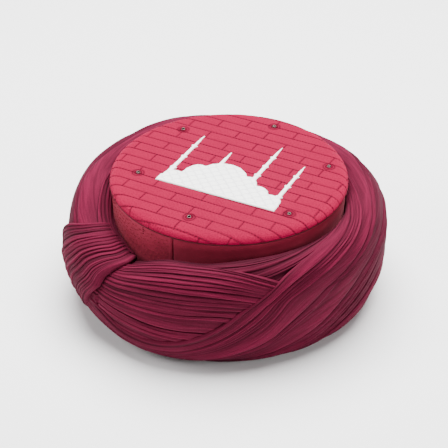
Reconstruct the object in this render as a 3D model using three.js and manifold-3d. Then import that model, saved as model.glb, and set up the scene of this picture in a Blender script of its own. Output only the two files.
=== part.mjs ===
// A ready-wound turban: a stiff flat-topped cap, open below for the head, with a
// long pleated cloth wound round it as a fat roll. The cloth's outer turn crosses
// over a front turn, and a loop tied over the roll gathers both at one side.
// Millimetres. +Z is up, the object stands on z = 0, and the badge on the lid
// reads upright when it is seen from -Y. Bearings are degrees from +X towards +Y.
import * as THREE from "three";
import { mergeVertices } from "three/addons/utils/BufferGeometryUtils.js";
import Module from "manifold-3d";

const wasm = await Module();
wasm.setup();

// The cap: a round wall, and a lid that overhangs it a little
const HEAD_RADIUS = 91;
const CAP_WALL = 2.5;
const CAP_HEIGHT = 99.7;
const CAP_SIDES = 72;
const LID_OVERHANG = 1.5;
const LID_RISE = 6.5;
const LID_ROUNDING = 13;
const LID_WALL = 3;
const LID_EDGE_STEPS = 4;

// What touches keeps this gap
const CLEARANCE = 0.3;

// The eyelets in the lid
const EYELET_COUNT = 6;
const EYELET_EDGE_INSET = 19;
const EYELET_FIRST_BEARING = 30;
const EYELET_BORE_RADIUS = 0.9;
const EYELET_BARREL_WALL = 0.5;
const EYELET_FLANGE_WIDTH = 0.8;
const EYELET_FLANGE_HEIGHT = 0.6;
const EYELET_SIDES = 10;

// The badge, a raised skyline
const BADGE_WIDTH = 103;
const BADGE_HEIGHT = 90;
const BADGE_THICKNESS = 0.9;
const BADGE_BASE_DROP = 40.5;
const BADGE_SHIFT = 2.5;
const BADGE_PLINTH_HEIGHT = 9;
const BADGE_ARC_STEPS = 8;
const MINARET_WIDTH = 4.4;
const MINARET_SPIRE = 13;
const BALCONY_FLARE = 1.1;
const BALCONY_HEIGHT = 2.6;

// The lid's eyelets and badge sit slightly off the cap's axis and square
const PATTERN_SHIFT_X = 3.3;
const PATTERN_SHIFT_Y = 2;
const PATTERN_TURN = 1.8;

// The roll of wound cloth, as the core that the outer turns lie on
const ROLL_REACH = 30;
const ROLL_HEIGHT = 82;
const ROLL_FLOOR_GAP = 7.5;
const ROLL_SEAT_GAP = 0.7;
const ROLL_OUTER_POWER = 2.2;
const ROLL_UNDER_POWER = 2.0;
const ROLL_INNER_POWER = 2.6;
const CORE_STATIONS = 36;
const CORE_POINTS = 18;
const BEDDING = 2;

// How thick each turn of cloth lies on the core, and how deep its pleats are
const INNER_TURN_THICKNESS = 3;
const FRONT_TURN_THICKNESS = 4;
const OUTER_TURN_THICKNESS = 5.5;
const LOOP_THICKNESS = 10;
const PLEAT_DEPTH = 1.5;

const CAP_RADIUS = HEAD_RADIUS + CAP_WALL;
const LID_RADIUS = CAP_RADIUS + LID_OVERHANG;
const EYELET_CIRCLE_RADIUS = LID_RADIUS - EYELET_EDGE_INSET;
const LID_BASE = CAP_HEIGHT + CLEARANCE;
const LID_TOP = LID_BASE + LID_RISE;
const ROLL_INNER_RADIUS = CAP_RADIUS + ROLL_SEAT_GAP;
const BARREL_RADIUS = EYELET_BORE_RADIUS + EYELET_BARREL_WALL;
const FLANGE_RADIUS = BARREL_RADIUS + EYELET_FLANGE_WIDTH;

// Domes of the skyline, left to right: the middle's place and the half width as
// shares of BADGE_WIDTH, foot and top as shares of BADGE_HEIGHT.
const DOMES = [
  { across: -0.4, half: 0.085, foot: 0.08, top: 0.21 },
  { across: -0.265, half: 0.1, foot: 0.08, top: 0.39 },
  { across: -0.06, half: 0.205, foot: 0.08, top: 0.51 },
  { across: 0.145, half: 0.1, foot: 0.08, top: 0.4 },
  { across: 0.27, half: 0.1, foot: 0.08, top: 0.3 },
  { across: 0.4, half: 0.095, foot: 0.08, top: 0.22 },
];
const MINARETS = [
  { across: -0.46, foot: 0.05, top: 0.885, balconies: 3 },
  { across: -0.15, foot: 0.4, top: 0.74, balconies: 0 },
  { across: 0.175, foot: 0.3, top: 1.0, balconies: 3 },
  { across: 0.45, foot: 0.05, top: 0.81, balconies: 3 },
];

// The core's section at even steps of bearing, as shares: reach of ROLL_REACH, top
// and wide (the height of the widest line) of ROLL_HEIGHT, crest (how far out the
// highest line lies) of ROLL_REACH.
const ROLL_SECTIONS = [
  { bearing: 0, reach: 0.93, top: 1.0, wide: 0.66, crest: 0.42 },
  { bearing: 45, reach: 0.94, top: 0.99, wide: 0.56, crest: 0.42 },
  { bearing: 90, reach: 0.86, top: 0.93, wide: 0.52, crest: 0.42 },
  { bearing: 135, reach: 1.0, top: 0.98, wide: 0.52, crest: 0.42 },
  { bearing: 180, reach: 1.02, top: 1.0, wide: 0.5, crest: 0.42 },
  { bearing: 225, reach: 1.08, top: 1.0, wide: 0.46, crest: 0.42 },
  { bearing: 270, reach: 1.16, top: 1.0, wide: 0.44, crest: 0.42 },
  { bearing: 315, reach: 0.83, top: 1.0, wide: 0.68, crest: 0.42 },
];

// Each turn is a strip laid round the core. A row is one station along it: the
// bearing and the angle round the core's section of its lower and upper edge
// (0 is the widest line, 90 the crest, 180 against the cap, -90 underneath), and
// thick, a share of the turn's thickness.
const INNER_TURN = [
  { lowBearing: 262, lowAngle: 50, highBearing: 262, highAngle: 150, thick: 1 },
  { lowBearing: 290, lowAngle: 40, highBearing: 290, highAngle: 150, thick: 1 },
  { lowBearing: 318, lowAngle: 30, highBearing: 318, highAngle: 150, thick: 1 },
  { lowBearing: 345, lowAngle: 60, highBearing: 345, highAngle: 150, thick: 1 },
  { lowBearing: 372, lowAngle: 100, highBearing: 372, highAngle: 150, thick: 1 },
];
const FRONT_TURN = [
  { lowBearing: 236, lowAngle: -75, highBearing: 240, highAngle: 62, thick: 1 },
  { lowBearing: 250, lowAngle: -75, highBearing: 252, highAngle: 64, thick: 1 },
  { lowBearing: 263, lowAngle: -75, highBearing: 265, highAngle: 72, thick: 1 },
  { lowBearing: 275, lowAngle: -75, highBearing: 278, highAngle: 83, thick: 1 },
  { lowBearing: 286, lowAngle: -70, highBearing: 290, highAngle: 84, thick: 1 },
  { lowBearing: 297, lowAngle: -60, highBearing: 303, highAngle: 70, thick: 1 },
  { lowBearing: 307, lowAngle: -45, highBearing: 315, highAngle: 46, thick: 1 },
  { lowBearing: 316, lowAngle: -20, highBearing: 323, highAngle: 28, thick: 1 },
];
const OUTER_TURN = [
  { lowBearing: 228, lowAngle: -130, highBearing: 246, highAngle: 150, thick: 1 },
  { lowBearing: 205, lowAngle: -130, highBearing: 205, highAngle: 150, thick: 1 },
  { lowBearing: 165, lowAngle: -130, highBearing: 165, highAngle: 150, thick: 1 },
  { lowBearing: 125, lowAngle: -130, highBearing: 125, highAngle: 150, thick: 1 },
  { lowBearing: 85, lowAngle: -130, highBearing: 85, highAngle: 150, thick: 1 },
  { lowBearing: 45, lowAngle: -130, highBearing: 45, highAngle: 150, thick: 1 },
  { lowBearing: 10, lowAngle: -130, highBearing: 16, highAngle: 130, thick: 1 },
  { lowBearing: -12, lowAngle: -130, highBearing: -6, highAngle: 106, thick: 0.9 },
  { lowBearing: -28, lowAngle: -130, highBearing: -27, highAngle: 78, thick: 0.8 },
  { lowBearing: -42, lowAngle: -130, highBearing: -43, highAngle: 48, thick: 0.8 },
  { lowBearing: -56, lowAngle: -130, highBearing: -57, highAngle: 12, thick: 0.9 },
  { lowBearing: -70, lowAngle: -130, highBearing: -70, highAngle: -18, thick: 1.05 },
  { lowBearing: -84, lowAngle: -130, highBearing: -84, highAngle: -40, thick: 1.1 },
  { lowBearing: -98, lowAngle: -130, highBearing: -98, highAngle: -44, thick: 1.1 },
  { lowBearing: -112, lowAngle: -130, highBearing: -112, highAngle: -38, thick: 1 },
  { lowBearing: -125, lowAngle: -130, highBearing: -125, highAngle: -32, thick: 1 },
];
const KNOT_LOOP = [
  { lowBearing: 246, lowAngle: 150, highBearing: 234, highAngle: 150, thick: 0.5 },
  { lowBearing: 252, lowAngle: 115, highBearing: 238, highAngle: 115, thick: 0.6 },
  { lowBearing: 260, lowAngle: 80, highBearing: 241, highAngle: 80, thick: 0.8 },
  { lowBearing: 259, lowAngle: 54, highBearing: 232, highAngle: 54, thick: 1 },
  { lowBearing: 254, lowAngle: 30, highBearing: 221, highAngle: 30, thick: 1.1 },
  { lowBearing: 249, lowAngle: 3, highBearing: 212, highAngle: 3, thick: 1 },
  { lowBearing: 241, lowAngle: -26, highBearing: 209, highAngle: -26, thick: 0.8 },
  { lowBearing: 236, lowAngle: -60, highBearing: 210, highAngle: -60, thick: 0.5 },
  { lowBearing: 236, lowAngle: -95, highBearing: 212, highAngle: -95, thick: 0.5 },
  { lowBearing: 236, lowAngle: -130, highBearing: 214, highAngle: -130, thick: 0.5 },
];

const mix = (a, b, t) => a + (b - a) * t;
const radians = THREE.MathUtils.degToRad;

function clothMaterial(colour) {
  return new THREE.MeshStandardMaterial({ color: colour, roughness: 0.9, metalness: 0 });
}

function piece(name, geometry, finish) {
  const mesh = new THREE.Mesh(geometry, finish);
  mesh.name = name;
  return mesh;
}

// Closed surfaces as solids, and solids as geometry

function solidOf(geometry) {
  const bare = new THREE.BufferGeometry();
  bare.setAttribute("position", geometry.getAttribute("position").clone());
  if (geometry.index) {
    bare.setIndex(geometry.index.clone());
  }
  const merged = mergeVertices(bare, 1e-3);
  return new wasm.Manifold(
    new wasm.Mesh({
      numProp: 3,
      vertProperties: merged.attributes.position.array,
      triVerts: new Uint32Array(merged.index.array),
    }),
  );
}

function geometryOf(solid) {
  const made = solid.getMesh();
  const geometry = new THREE.BufferGeometry();
  geometry.setAttribute("position", new THREE.BufferAttribute(made.vertProperties, 3));
  geometry.setIndex(new THREE.BufferAttribute(made.triVerts, 1));
  return geometry;
}

function largestBody(solid) {
  const bodies = solid.decompose();
  return bodies.reduce((best, body) => (body.volume() > best.volume() ? body : best));
}

// A closed profile of [radius, height] pairs, anticlockwise, turned about the Z axis
function turned(profile, sides) {
  const points = profile.map(([radius, height]) => new THREE.Vector2(radius, height));
  return new THREE.LatheGeometry([...points, points[0]], sides).rotateX(Math.PI / 2);
}

// The cap

function capBand() {
  return turned(
    [
      [HEAD_RADIUS, 0],
      [CAP_RADIUS, 0],
      [CAP_RADIUS, CAP_HEIGHT],
      [HEAD_RADIUS, CAP_HEIGHT],
    ],
    CAP_SIDES,
  );
}

// The rounded edge of the lid, from its foot up to where the flat top starts
function lidEdge(radius, rise, steps) {
  const arc = [];
  for (let step = 0; step <= steps; step++) {
    const angle = (Math.PI / 2) * (step / steps);
    arc.push([
      radius - LID_ROUNDING * (1 - Math.cos(angle)),
      LID_BASE + rise * Math.sin(angle),
    ]);
  }
  return arc;
}

function lid() {
  const outer = lidEdge(LID_RADIUS, LID_RISE, LID_EDGE_STEPS);
  const inner = lidEdge(HEAD_RADIUS, LID_RISE - LID_WALL, LID_EDGE_STEPS / 2);
  const profile = [...outer, [0, LID_TOP], [0, LID_TOP - LID_WALL], ...inner.reverse()];
  let shell = solidOf(turned(profile, CAP_SIDES));
  for (const [x, y] of eyeletPlaces()) {
    const radius = BARREL_RADIUS + CLEARANCE;
    const hole = new THREE.CylinderGeometry(radius, radius, LID_WALL * 4, EYELET_SIDES);
    shell = shell.subtract(solidOf(hole.rotateX(Math.PI / 2).translate(x, y, LID_TOP)));
  }
  return geometryOf(shell);
}

// Where a point of the lid's pattern lies
function onLid(x, y) {
  const cos = Math.cos(radians(PATTERN_TURN));
  const sin = Math.sin(radians(PATTERN_TURN));
  return [PATTERN_SHIFT_X + x * cos - y * sin, PATTERN_SHIFT_Y + x * sin + y * cos];
}

function eyeletPlaces() {
  const places = [];
  for (let k = 0; k < EYELET_COUNT; k++) {
    const bearing = radians(EYELET_FIRST_BEARING + (360 / EYELET_COUNT) * k);
    places.push(onLid(EYELET_CIRCLE_RADIUS * Math.cos(bearing), EYELET_CIRCLE_RADIUS * Math.sin(bearing)));
  }
  return places;
}

// A flanged ring: the flange lies on the lid, and the barrel stands in its hole
function eyelet() {
  return turned(
    [
      [EYELET_BORE_RADIUS, -LID_WALL],
      [BARREL_RADIUS, -LID_WALL],
      [BARREL_RADIUS, 0],
      [FLANGE_RADIUS, 0],
      [FLANGE_RADIUS - EYELET_FLANGE_WIDTH / 3, EYELET_FLANGE_HEIGHT],
      [EYELET_BORE_RADIUS, EYELET_FLANGE_HEIGHT],
    ],
    EYELET_SIDES,
  );
}

// The badge

function raised(shape) {
  return solidOf(new THREE.ExtrudeGeometry(shape, { depth: BADGE_THICKNESS, bevelEnabled: false }));
}

function outline(points) {
  return new THREE.Shape(points.map(([x, y]) => new THREE.Vector2(x, y)));
}

function domeShape({ across, half, foot, top }) {
  const centre = across * BADGE_WIDTH;
  const reach = half * BADGE_WIDTH;
  const points = [[centre - reach, foot * BADGE_HEIGHT], [centre + reach, foot * BADGE_HEIGHT]];
  const spring = mix(foot, top, 0.45) * BADGE_HEIGHT;
  for (let step = 0; step <= BADGE_ARC_STEPS; step++) {
    const angle = Math.PI * (step / BADGE_ARC_STEPS);
    points.push([
      centre + reach * Math.cos(angle),
      spring + (top * BADGE_HEIGHT - spring) * Math.sin(angle),
    ]);
  }
  return outline(points);
}

function minaretShape({ across, foot, top, balconies }) {
  const half = MINARET_WIDTH / 2;
  const base = foot * BADGE_HEIGHT;
  const tip = top * BADGE_HEIGHT;
  const shoulder = tip - MINARET_SPIRE;
  const side = [[half, base]];
  for (let k = 1; k <= balconies; k++) {
    const height = mix(base, shoulder, k / (balconies + 0.4));
    const taper = half * (1 - 0.12 * k);
    side.push([taper, height - BALCONY_HEIGHT]);
    side.push([half + BALCONY_FLARE - 0.12 * k, height]);
    side.push([taper - 0.2, height + 0.5]);
  }
  side.push([half * 0.55, shoulder]);
  const mirrored = side.map(([x, y]) => [-x, y]).reverse();
  const centre = across * BADGE_WIDTH;
  return outline([...side, [0, tip], ...mirrored].map(([x, y]) => [centre + x, y]));
}

function badge() {
  const plinthHalf = BADGE_WIDTH / 2;
  let skyline = raised(
    outline([
      [-plinthHalf, 0],
      [plinthHalf, 0],
      [plinthHalf, BADGE_PLINTH_HEIGHT],
      [-plinthHalf, BADGE_PLINTH_HEIGHT],
    ]),
  );
  for (const shape of [...DOMES.map(domeShape), ...MINARETS.map(minaretShape)]) {
    skyline = skyline.add(raised(shape));
  }
  return geometryOf(skyline);
}

// The core's section

function catmullRom(before, from, to, after, t) {
  const a = 2 * from;
  const b = to - before;
  const c = 2 * before - 5 * from + 4 * to - after;
  const d = 3 * from - before - 3 * to + after;
  return (a + b * t + c * t * t + d * t * t * t) / 2;
}

function sectionSizes(bearing) {
  const count = ROLL_SECTIONS.length;
  const place = ((((bearing - ROLL_SECTIONS[0].bearing) % 360) + 360) % 360) * (count / 360);
  const first = Math.floor(place);
  const share = (step, name) => ROLL_SECTIONS[(first + step + count) % count][name];
  const column = (name) =>
    catmullRom(share(-1, name), share(0, name), share(1, name), share(2, name), place - first);
  return {
    reach: column("reach") * ROLL_REACH,
    top: column("top") * ROLL_HEIGHT,
    wide: column("wide") * ROLL_HEIGHT,
    crest: column("crest") * ROLL_REACH,
  };
}

// [radius, height] at an angle round the section
function sectionPoint(sizes, angle) {
  const cos = Math.cos(radians(angle));
  const sin = Math.sin(radians(angle));
  const outerPower = sin > 0 ? ROLL_OUTER_POWER : ROLL_UNDER_POWER;
  const power = 2 / (cos > 0 ? outerPower : ROLL_INNER_POWER);
  const out = Math.sign(cos) * Math.abs(cos) ** power;
  const up = Math.sign(sin) * Math.abs(sin) ** power;
  return [
    ROLL_INNER_RADIUS + sizes.crest + out * (cos > 0 ? sizes.reach - sizes.crest : sizes.crest),
    ROLL_FLOOR_GAP + sizes.wide + up * (sin > 0 ? sizes.top - sizes.wide : sizes.wide),
  ];
}

// The point on the core at a bearing and an angle, raised square to the core by lift
function corePoint(bearing, angle, lift) {
  const sizes = sectionSizes(bearing);
  const [radius, height] = sectionPoint(sizes, angle);
  const [backRadius, backHeight] = sectionPoint(sizes, angle - 1);
  const [aheadRadius, aheadHeight] = sectionPoint(sizes, angle + 1);
  const step = Math.hypot(aheadRadius - backRadius, aheadHeight - backHeight);
  const reach = radius + (lift * (aheadHeight - backHeight)) / step;
  return [
    reach * Math.cos(radians(bearing)),
    reach * Math.sin(radians(bearing)),
    height - (lift * (aheadRadius - backRadius)) / step,
  ];
}

// Closed loops of equal point counts joined side to side. A ring joins its last
// loop to its first; otherwise both ends are faced, each loop being an outer run
// of outerCount points and then the inner run backwards.
function lofted(loops, outerCount, ring = false) {
  const count = loops[0].length;
  const faces = [];
  const spans = ring ? loops.length : loops.length - 1;
  for (let i = 0; i < spans; i++) {
    const here = i * count;
    const ahead = ((i + 1) % loops.length) * count;
    for (let j = 0; j < count; j++) {
      const next = (j + 1) % count;
      faces.push(here + j, here + next, ahead + next, here + j, ahead + next, ahead + j);
    }
  }
  if (!ring) {
    const last = (loops.length - 1) * count;
    for (const [a, b, c] of endFaces(outerCount, count - outerCount)) {
      faces.push(c, b, a, last + a, last + b, last + c);
    }
  }
  const geometry = new THREE.BufferGeometry();
  geometry.setAttribute("position", new THREE.Float32BufferAttribute(loops.flat(2), 3));
  geometry.setIndex(faces);
  return facingOut(geometry);
}

function endFaces(outerCount, innerCount) {
  const faces = [];
  const inner = (k) => outerCount + innerCount - 1 - k;
  let j = 0;
  let k = 0;
  while (j < outerCount - 1 || k < innerCount - 1) {
    if ((j + 1) / (outerCount - 1) <= (k + 1) / (innerCount - 1)) {
      faces.push([j, j + 1, inner(k)]);
      j++;
    } else {
      faces.push([j, inner(k + 1), inner(k)]);
      k++;
    }
  }
  return faces;
}

function facingOut(geometry) {
  const corners = geometry.index.array;
  const [a, b, c] = [new THREE.Vector3(), new THREE.Vector3(), new THREE.Vector3()];
  let volume = 0;
  for (let i = 0; i < corners.length; i += 3) {
    a.fromBufferAttribute(geometry.attributes.position, corners[i]);
    b.fromBufferAttribute(geometry.attributes.position, corners[i + 1]);
    c.fromBufferAttribute(geometry.attributes.position, corners[i + 2]);
    volume += a.dot(b.cross(c));
  }
  if (volume < 0) {
    geometry.setIndex(Array.from(corners).reverse());
  }
  return geometry;
}

// A strip of pleated cloth laid on the core, and bedded into it before it is cut
// to the core's form. grow widens it on every side.
function strip(stations, { pleats, thickness, steps, innerSteps }, grow = 0) {
  const loops = [];
  for (let step = 0; step <= steps; step++) {
    const place = (step / steps) * (stations.length - 1);
    const first = Math.min(Math.floor(place), stations.length - 2);
    const row = (offset) => stations[Math.min(Math.max(first + offset, 0), stations.length - 1)];
    const column = (name) =>
      catmullRom(row(-1)[name], row(0)[name], row(1)[name], row(2)[name], place - first);
    const at = (t, lift) =>
      corePoint(
        mix(column("lowBearing"), column("highBearing"), t),
        mix(column("lowAngle"), column("highAngle"), t),
        lift,
      );
    const [low, high] = [at(0, 0), at(1, 0)];
    const width = Math.hypot(high[0] - low[0], high[1] - low[1], high[2] - low[2]);
    const spread = grow / width;
    const across = (share) => mix(-spread, 1 + spread, share);
    const loop = [];
    for (let j = 0; j <= pleats * 2; j++) {
      const pleated = j % 2 ? thickness : thickness - PLEAT_DEPTH;
      loop.push(at(across(j / (pleats * 2)), pleated * column("thick") + grow));
    }
    for (let j = innerSteps; j >= 0; j--) {
      loop.push(at(across(j / innerSteps), -BEDDING));
    }
    loops.push(loop);
  }
  const ends = [drawnOut(loops[0], loops[1], grow), drawnOut(loops.at(-1), loops.at(-2), grow)];
  return solidOf(lofted([ends[0], ...loops.slice(1, -1), ends[1]], pleats * 2 + 1));
}

// A loop moved further from its neighbour
function drawnOut(loop, neighbour, distance) {
  return loop.map((point, j) => {
    const from = new THREE.Vector3(...neighbour[j]);
    const way = new THREE.Vector3(...point).sub(from);
    return from.add(way.setLength(way.length() + distance)).toArray();
  });
}

function coreRing(lift) {
  const loops = [];
  for (let i = 0; i < CORE_STATIONS; i++) {
    const loop = [];
    for (let j = 0; j < CORE_POINTS; j++) {
      loop.push(corePoint((360 * i) / CORE_STATIONS, (360 * j) / CORE_POINTS, lift));
    }
    loops.push(loop);
  }
  return solidOf(lofted(loops, 0, true));
}

// The room that the cap takes, with the clearance round it
function capRoom() {
  const band = CAP_RADIUS + CLEARANCE;
  const brim = LID_RADIUS + CLEARANCE;
  return solidOf(
    turned(
      [
        [0, -CAP_HEIGHT],
        [band, -CAP_HEIGHT],
        [band, CAP_HEIGHT - CLEARANCE],
        [brim, CAP_HEIGHT - CLEARANCE],
        [brim, CAP_HEIGHT * 2],
        [0, CAP_HEIGHT * 2],
      ],
      CAP_SIDES,
    ),
  );
}

const INNER_CLOTH = { pleats: 5, thickness: INNER_TURN_THICKNESS, steps: 12, innerSteps: 4 };
const FRONT_CLOTH = { pleats: 12, thickness: FRONT_TURN_THICKNESS, steps: 14, innerSteps: 6 };
const OUTER_CLOTH = { pleats: 12, thickness: OUTER_TURN_THICKNESS, steps: 34, innerSteps: 8 };
const LOOP_CLOTH = { pleats: 8, thickness: LOOP_THICKNESS, steps: 15, innerSteps: 4 };

// What lies on top is cut, with its clearance, from what lies below
function windings() {
  const core = coreRing(0);
  const coreRoom = coreRing(CLEARANCE);
  const rooms = [capRoom()];
  const cut = (solid) => rooms.reduce((left, room) => left.subtract(room), solid);
  const lay = (stations, cloth) => {
    const laid = largestBody(cut(strip(stations, cloth)).subtract(coreRoom));
    rooms.push(strip(stations, cloth, CLEARANCE));
    return laid;
  };
  return {
    knot_loop: lay(KNOT_LOOP, LOOP_CLOTH),
    outer_turn: lay(OUTER_TURN, OUTER_CLOTH),
    front_turn: lay(FRONT_TURN, FRONT_CLOTH),
    inner_turn: largestBody(core.add(cut(strip(INNER_TURN, INNER_CLOTH)))),
  };
}

const capCloth = clothMaterial(0x8c2238);
const lidCloth = clothMaterial(0xd64a66);
const wrapCloth = clothMaterial(0x93294c);
const thread = new THREE.MeshStandardMaterial({ color: 0xf6f7f4, roughness: 0.6, metalness: 0 });
const metal = new THREE.MeshStandardMaterial({ color: 0xb8a8a8, roughness: 0.35, metalness: 1 });

const group = new THREE.Group();
group.add(piece("crown_band", capBand(), capCloth));
group.add(piece("crown_top", lid(), lidCloth));
for (const [name, solid] of Object.entries(windings())) {
  group.add(piece(name, geometryOf(solid), wrapCloth));
}
const mosque = piece("mosque_motif", badge(), thread);
mosque.position.set(...onLid(BADGE_SHIFT, -BADGE_BASE_DROP), LID_TOP + CLEARANCE);
mosque.rotation.z = radians(PATTERN_TURN);
group.add(mosque);
eyeletPlaces().forEach(([x, y], k) => {
  const ring = piece(`eyelet_${k + 1}`, eyelet(), metal);
  ring.position.set(x, y, LID_TOP + CLEARANCE);
  group.add(ring);
});

// The origin is the middle of the footprint, on the surface that it stands on
const bounds = new THREE.Box3().setFromObject(group);
const middle = bounds.getCenter(new THREE.Vector3());
group.position.set(-middle.x, -middle.y, -bounds.min.z);
group.updateMatrixWorld(true);

export default group;
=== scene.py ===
import math

import bmesh
import bpy
import numpy as np
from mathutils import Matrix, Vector


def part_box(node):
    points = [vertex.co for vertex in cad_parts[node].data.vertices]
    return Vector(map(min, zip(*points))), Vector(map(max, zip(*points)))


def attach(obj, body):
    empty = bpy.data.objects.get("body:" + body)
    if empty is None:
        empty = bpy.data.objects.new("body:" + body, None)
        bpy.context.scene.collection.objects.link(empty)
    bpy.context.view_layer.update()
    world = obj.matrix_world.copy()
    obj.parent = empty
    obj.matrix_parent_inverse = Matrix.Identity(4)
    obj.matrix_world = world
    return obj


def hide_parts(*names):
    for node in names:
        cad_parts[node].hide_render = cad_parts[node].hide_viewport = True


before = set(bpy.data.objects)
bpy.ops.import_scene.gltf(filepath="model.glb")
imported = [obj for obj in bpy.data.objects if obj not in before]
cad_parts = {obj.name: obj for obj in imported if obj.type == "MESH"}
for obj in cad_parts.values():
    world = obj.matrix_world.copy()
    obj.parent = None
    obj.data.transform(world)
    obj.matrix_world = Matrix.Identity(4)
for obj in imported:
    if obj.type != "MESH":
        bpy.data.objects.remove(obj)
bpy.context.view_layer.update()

MM = 0.001

BAND_LOW, BAND_HIGH = (np.array(corner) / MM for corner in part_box("crown_band"))
LID_LOW, LID_HIGH = (np.array(corner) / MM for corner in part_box("crown_top"))
AXIS = (BAND_LOW + BAND_HIGH)[:2] / 2
CAP_RADIUS = (BAND_HIGH - BAND_LOW)[0] / 2
CAP_WALL = 2.5
CAP_HEIGHT = BAND_HIGH[2]
LID_RADIUS = (LID_HIGH - LID_LOW)[0] / 2
LID_BASE = LID_LOW[2]
LID_TOP = LID_HIGH[2]
CLEARANCE = 0.3

# The camera, where the photograph was taken from

VIEW_BEARING = 28.29
VIEW_ELEVATION = 32.165
VIEW_DISTANCE = 1118
VIEW_LENS = 112.5
VIEW_SENSOR = 36
VIEW_FAR_CLIP = 20
AIM_RIGHT = -3.9
AIM_UP = -37.7


def placed(name, data):
    made = bpy.data.objects.new(name, data)
    bpy.context.scene.collection.objects.link(made)
    return made


def add_camera():
    bearing, elevation = math.radians(VIEW_BEARING), math.radians(VIEW_ELEVATION)
    level, down = math.cos(elevation), math.sin(elevation)
    forward = Vector((-math.sin(bearing) * level, math.cos(bearing) * level, -down))
    right = Vector((math.cos(bearing), math.sin(bearing), 0))
    up = right.cross(forward)
    rim = Vector((AXIS[0], AXIS[1], LID_BASE))
    place = rim - forward * VIEW_DISTANCE
    aim = rim + right * AIM_RIGHT + up * AIM_UP
    data = bpy.data.cameras.new("camera")
    data.lens = VIEW_LENS
    data.sensor_width = VIEW_SENSOR
    data.clip_end = VIEW_FAR_CLIP
    camera = placed("camera", data)
    camera.location = place * MM
    camera.rotation_euler = (aim - place).to_track_quat("-Z", "Y").to_euler()
    bpy.context.scene.camera = camera


add_camera()

# Materials


def colour(hex_code):
    channels = [int(hex_code[i : i + 2], 16) / 255 for i in (1, 3, 5)]
    linear = [c / 12.92 if c <= 0.04045 else ((c + 0.055) / 1.055) ** 2.4 for c in channels]
    return (*linear, 1)


def connect(tree, made, inputs):
    """Sets a node's inputs to values, hex codes of colours, sockets or nodes' first outputs."""
    for name, value in inputs.items():
        value = value.outputs[0] if isinstance(value, bpy.types.Node) else value
        value = colour(value) if isinstance(value, str) else value
        if isinstance(value, bpy.types.NodeSocket):
            tree.links.new(value, made.inputs[name])
        else:
            made.inputs[name].default_value = value


def node(tree, kind, inputs=None, **settings):
    made = tree.nodes.new(kind)
    for name, value in settings.items():
        setattr(made, name, value)
    connect(tree, made, inputs or {})
    return made


def new_material(name, surface):
    """A material whose shader has the surface's constants on its own sockets."""
    material = bpy.data.materials.new(name)
    material.use_nodes = True
    tree = material.node_tree
    tree.nodes.clear()
    shader = node(tree, "ShaderNodeBsdfPrincipled", surface)
    node(tree, "ShaderNodeOutputMaterial", {"Surface": shader})
    return material, tree, shader


MAPPING = "ShaderNodeMapping"
NOISE = "ShaderNodeTexNoise"
MIX = "ShaderNodeMixRGB"
RANGE = "ShaderNodeMapRange"
BUMP = "ShaderNodeBump"


def wrap_cloth():
    """Fine wine-red cotton lawn, garment dyed: matt, a soft bloom, with painted shade in the creases
    between its folds.
    """
    surface = {
        "Roughness": 0.85,
        "Specular IOR Level": 0.08,
        "Sheen Weight": 0.03,
        "Sheen Roughness": 0.4,
        "Sheen Tint": "#F0A0C0",
    }
    material, tree, shader = new_material("cotton_lawn_wine_red", surface)
    place = node(tree, "ShaderNodeUVMap", uv_map="cloth")
    fold = node(tree, "ShaderNodeAttribute", attribute_name="fold").outputs["Fac"]
    # Long soft creases run with the winding, about 1.3 mm wide
    along = node(tree, MAPPING, {"Vector": place, "Scale": (24, 800, 1)})
    creases = node(tree, NOISE, {"Vector": along, "Scale": 1, "Detail": 3, "Roughness": 0.55})
    # Threads are finer on the real cloth, and drawn at 0.8 mm so that they show
    weave = node(tree, MAPPING, {"Vector": place, "Scale": (1250, 1250, 1)})
    threads = node(tree, NOISE, {"Vector": weave, "Scale": 1, "Detail": 1, "Roughness": 0.5})
    # The dye is patchy over 17 to 33 mm
    mottle = node(tree, MAPPING, {"Vector": place, "Scale": (30, 60, 1)})
    clouds = node(tree, NOISE, {"Vector": mottle, "Scale": 1, "Detail": 2})
    # Painted shade: the fold attribute darkens the creases between the pleats and leaves their crests
    # lighter
    tone = node(tree, MIX, {"Fac": fold, "Color1": "#380A1A", "Color2": "#6A1432"})
    patch = node(tree, MIX, {"Fac": 0.15, "Color1": tone, "Color2": clouds}, blend_type="MULTIPLY")
    # Painted shade along the long soft creases, times the weave's grain; the dye's patches come from
    # the mottle
    lines = node(tree, RANGE, {"Value": creases, "From Min": 0.4, "From Max": 0.56, "To Min": 0.7})
    grain = node(tree, RANGE, {"Value": threads, "From Min": 0.3, "From Max": 0.6, "To Min": 0.8})
    shade = node(tree, "ShaderNodeMath", {0: lines, 1: grain}, operation="MULTIPLY")
    tone_and_painted_shade = node(tree, MIX, {"Fac": 1, "Color1": patch, "Color2": shade}, blend_type="MULTIPLY")
    soft = node(tree, BUMP, {"Strength": 1, "Distance": 0.0009, "Height": creases})
    relief = {"Strength": 0.25, "Distance": 0.0002, "Height": threads, "Normal": soft}
    connect(tree, shader, {"Base Color": tone_and_painted_shade, "Normal": node(tree, BUMP, relief)})
    return material


WRAP_CLOTH = wrap_cloth()

# The roll's core, which every turn of cloth lies on

ROLL_REACH = 30
ROLL_HEIGHT = 82
ROLL_FLOOR_GAP = 7.5
ROLL_SEAT_GAP = 0.7
ROLL_OUTER_POWER = 2.2
ROLL_UNDER_POWER = 2.0
ROLL_INNER_POWER = 2.6

# Sections at even steps of bearing, as shares of the sizes above: reach, top, wide
# (the height of the widest line) and crest (how far out the highest line lies)
ROLL_SECTIONS = np.array([
    (0.93, 1.00, 0.66, 0.42),
    (0.94, 0.99, 0.56, 0.42),
    (0.86, 0.93, 0.52, 0.42),
    (1.00, 1.00, 0.52, 0.42),
    (1.02, 1.01, 0.50, 0.42),
    (1.08, 1.00, 0.46, 0.42),
    (1.16, 1.00, 0.44, 0.42),
    (0.83, 1.00, 0.68, 0.42),
])


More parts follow.
